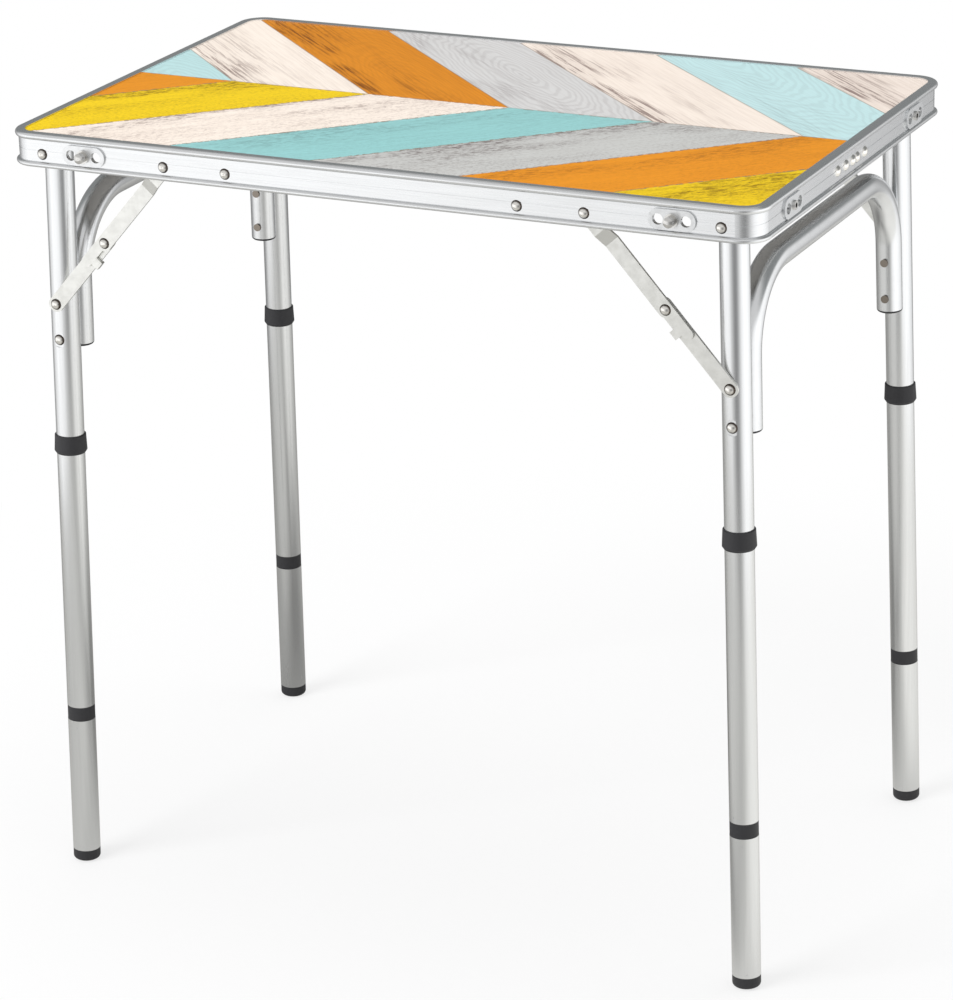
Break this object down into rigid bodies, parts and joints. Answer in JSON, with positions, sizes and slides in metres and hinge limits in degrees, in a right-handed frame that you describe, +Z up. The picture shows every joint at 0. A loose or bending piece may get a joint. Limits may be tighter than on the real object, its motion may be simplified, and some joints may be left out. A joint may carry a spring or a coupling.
{
  "type": "folding camping table",
  "caption": "Small folding camping table with a printed plank-pattern board in a bent aluminium rail, hinged leg frames with knee braces and plug-in leg sections.",
  "frame": {"origin": "on the floor, midway between the feet and under the middle of the board", "axes": "+X to the right along the long side, +Y from front to back, +Z up"},
  "size_m": [0.6014, 0.3942, 0.598],
  "materials": {
    "printed_board": "printed plank chevron with a satin clear coat",
    "anodised_aluminium": "satin clear anodised",
    "satin_steel": "satin zinc plated strip",
    "rivet_steel": "polished domed heads",
    "dark_plastic": "fine matt moulding"
  },
  "bodies": {
    "table_top": {"board": "printed_board", "edge_rail": "anodised_aluminium", "splice_plate": "anodised_aluminium", "splice_rivets": "rivet_steel", "cross_bars": "anodised_aluminium", "cross_rivets": "rivet_steel", "pivot_rivets": "rivet_steel", "pivot_spacers": "dark_plastic", "brace_rivets": "rivet_steel", "corner_plates": "anodised_aluminium", "long_studs": "rivet_steel", "short_studs": "rivet_steel"},
    "frame_l": {"leg_fl": "anodised_aluminium", "leg_bl": "anodised_aluminium", "u_bar_l": "anodised_aluminium", "u_plugs_l": "dark_plastic", "frame_rivets_l": "rivet_steel", "collars_l": "dark_plastic"},
    "frame_r": {"leg_fr": "anodised_aluminium", "leg_br": "anodised_aluminium", "u_bar_r": "anodised_aluminium", "u_plugs_r": "dark_plastic", "frame_rivets_r": "rivet_steel", "collars_r": "dark_plastic"},
    "upper_link_fl": {"link_up_fl": "satin_steel", "knee_fl": "rivet_steel"},
    "lower_link_fl": {"link_low_fl": "satin_steel"},
    "middle_section_fl": {"mid_tube_fl": "anodised_aluminium", "mid_plug_fl": "dark_plastic", "ring_fl": "dark_plastic"},
    "foot_section_fl": {"low_tube_fl": "anodised_aluminium", "low_plug_fl": "dark_plastic", "foot_fl": "dark_plastic"},
    "upper_link_bl": {"link_up_bl": "satin_steel", "knee_bl": "rivet_steel"},
    "lower_link_bl": {"link_low_bl": "satin_steel"},
    "middle_section_bl": {"mid_tube_bl": "anodised_aluminium", "mid_plug_bl": "dark_plastic", "ring_bl": "dark_plastic"},
    "foot_section_bl": {"low_tube_bl": "anodised_aluminium", "low_plug_bl": "dark_plastic", "foot_bl": "dark_plastic"},
    "upper_link_fr": {"link_up_fr": "satin_steel", "knee_fr": "rivet_steel"},
    "lower_link_fr": {"link_low_fr": "satin_steel"},
    "middle_section_fr": {"mid_tube_fr": "anodised_aluminium", "mid_plug_fr": "dark_plastic", "ring_fr": "dark_plastic"},
    "foot_section_fr": {"low_tube_fr": "anodised_aluminium", "low_plug_fr": "dark_plastic", "foot_fr": "dark_plastic"},
    "upper_link_br": {"link_up_br": "satin_steel", "knee_br": "rivet_steel"},
    "lower_link_br": {"link_low_br": "satin_steel"},
    "middle_section_br": {"mid_tube_br": "anodised_aluminium", "mid_plug_br": "dark_plastic", "ring_br": "dark_plastic"},
    "foot_section_br": {"low_tube_br": "anodised_aluminium", "low_plug_br": "dark_plastic", "foot_br": "dark_plastic"}
  },
  "joints": [
    {"name": "fold_l", "type": "hinge", "parent": "table_top", "child": "frame_l", "pos_m": [-0.27, 0, 0.582], "axis": [0, -1, 0], "range_deg": [0, 27]},
    {"name": "fold_r", "type": "hinge", "parent": "table_top", "child": "frame_r", "pos_m": [0.27, 0, 0.582], "axis": [0, 1, 0], "range_deg": [0, 27]},
    {"name": "brace_top_fl", "type": "hinge", "parent": "table_top", "child": "upper_link_fl", "pos_m": [-0.1675, -0.185, 0.582], "axis": [0, -1, 0], "range_deg": [0, 52.9]},
    {"name": "brace_foot_fl", "type": "hinge", "parent": "frame_l", "child": "lower_link_fl", "pos_m": [-0.27229, -0.178, 0.46292], "axis": [0, 1, 0], "range_deg": [0, 58.3]},
    {"name": "middle_pull_fl", "type": "slide", "parent": "frame_l", "child": "middle_section_fl", "axis": [0.0192, 0.0175, 0.9997], "range_m": [-0.045, 0]},
    {"name": "foot_pull_fl", "type": "slide", "parent": "middle_section_fl", "child": "foot_section_fl", "axis": [0.0192, 0.0175, 0.9997], "range_m": [-0.045, 0]},
    {"name": "brace_top_bl", "type": "hinge", "parent": "table_top", "child": "upper_link_bl", "pos_m": [-0.1675, 0.185, 0.582], "axis": [0, -1, 0], "range_deg": [0, 52.9]},
    {"name": "brace_foot_bl", "type": "hinge", "parent": "frame_l", "child": "lower_link_bl", "pos_m": [-0.27229, 0.178, 0.46292], "axis": [0, 1, 0], "range_deg": [0, 58.3]},
    {"name": "middle_pull_bl", "type": "slide", "parent": "frame_l", "child": "middle_section_bl", "axis": [0.0192, -0.0175, 0.9997], "range_m": [-0.045, 0]},
    {"name": "foot_pull_bl", "type": "slide", "parent": "middle_section_bl", "child": "foot_section_bl", "axis": [0.0192, -0.0175, 0.9997], "range_m": [-0.045, 0]},
    {"name": "brace_top_fr", "type": "hinge", "parent": "table_top", "child": "upper_link_fr", "pos_m": [0.1675, -0.185, 0.582], "axis": [0, 1, 0], "range_deg": [0, 52.9]},
    {"name": "brace_foot_fr", "type": "hinge", "parent": "frame_r", "child": "lower_link_fr", "pos_m": [0.27229, -0.178, 0.46292], "axis": [0, -1, 0], "range_deg": [0, 58.3]},
    {"name": "middle_pull_fr", "type": "slide", "parent": "frame_r", "child": "middle_section_fr", "axis": [-0.0192, 0.0175, 0.9997], "range_m": [-0.045, 0]},
    {"name": "foot_pull_fr", "type": "slide", "parent": "middle_section_fr", "child": "foot_section_fr", "axis": [-0.0192, 0.0175, 0.9997], "range_m": [-0.045, 0]},
    {"name": "brace_top_br", "type": "hinge", "parent": "table_top", "child": "upper_link_br", "pos_m": [0.1675, 0.185, 0.582], "axis": [0, 1, 0], "range_deg": [0, 52.9]},
    {"name": "brace_foot_br", "type": "hinge", "parent": "frame_r", "child": "lower_link_br", "pos_m": [0.27229, 0.178, 0.46292], "axis": [0, -1, 0], "range_deg": [0, 58.3]},
    {"name": "middle_pull_br", "type": "slide", "parent": "frame_r", "child": "middle_section_br", "axis": [-0.0192, -0.0175, 0.9997], "range_m": [-0.045, 0]},
    {"name": "foot_pull_br", "type": "slide", "parent": "middle_section_br", "child": "foot_section_br", "axis": [-0.0192, -0.0175, 0.9997], "range_m": [-0.045, 0]}
  ],
  "couplings": [
    {"joint": "brace_top_fl", "follows": "fold_l", "ratio": 1.9545},
    {"joint": "brace_foot_fl", "follows": "fold_l", "ratio": 2.1548},
    {"joint": "brace_top_bl", "follows": "fold_l", "ratio": 1.9545},
    {"joint": "brace_foot_bl", "follows": "fold_l", "ratio": 2.1548},
    {"joint": "brace_top_fr", "follows": "fold_r", "ratio": 1.9545},
    {"joint": "brace_foot_fr", "follows": "fold_r", "ratio": 2.1548},
    {"joint": "brace_top_br", "follows": "fold_r", "ratio": 1.9545},
    {"joint": "brace_foot_br", "follows": "fold_r", "ratio": 2.1548}
  ]
}
